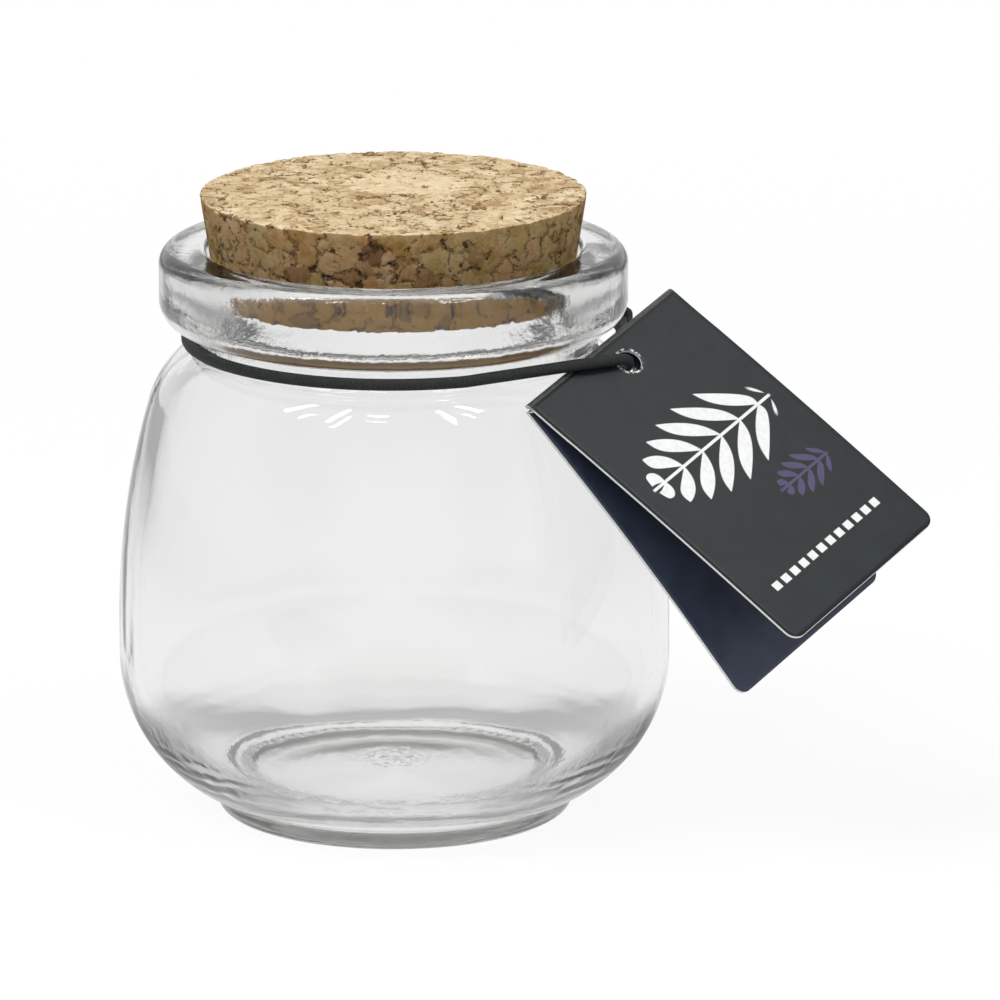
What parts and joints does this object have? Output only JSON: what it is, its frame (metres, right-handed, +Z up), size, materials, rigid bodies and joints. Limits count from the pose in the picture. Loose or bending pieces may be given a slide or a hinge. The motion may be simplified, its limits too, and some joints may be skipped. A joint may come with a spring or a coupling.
{
  "type": "squat glass jar with cork stopper and hanging tag",
  "caption": "Squat round glass jar with a thick collar, a tapered cork that lifts out, and a folded card tag on an elastic cord round the neck.",
  "frame": {"origin": "middle of the jar's foot, on the surface it stands on", "axes": "+Z up along the jar's axis; +X to the right of the pictured view, where the tag hangs; +Y away from the viewer"},
  "size_m": [0.1224, 0.0909, 0.0958],
  "materials": {
    "clear_glass": "clear, moulded, slightly wavy",
    "cork": "agglomerated cork, pitted",
    "cord": "matt black elastic cord",
    "card": "dark film-covered card"
  },
  "bodies": {
    "jar": {"glass_jar": "clear_glass"},
    "stopper": {"cork_stopper": "cork"},
    "cord": {"neck_cord": "cord", "cord_knot": "cord"},
    "tag": {"tag_cord": "cord", "tag_back_leaf": "card"},
    "tag_front": {"tag_front_leaf": "card"}
  },
  "joints": [
    {"name": "stopper_lift", "type": "slide", "parent": "jar", "child": "stopper", "axis": [0, 0, 1], "range_m": [0, 0.03]},
    {"name": "cord_turn", "type": "hinge", "parent": "jar", "child": "cord", "pos_m": [0, 0, 0.0734], "axis": [0, 0, 1], "continuous": true},
    {"name": "tag_swing", "type": "hinge", "parent": "cord", "child": "tag", "pos_m": [0.02807, -0.02293, 0.07445], "axis": [-0.2013, -0.9794, 0.014], "range_deg": [0, 16]},
    {"name": "tag_open", "type": "hinge", "parent": "tag", "child": "tag_front", "pos_m": [0.03639, -0.02035, 0.07165], "axis": [-0.6165, -0.7092, -0.342], "range_deg": [-18, 80]}
  ]
}
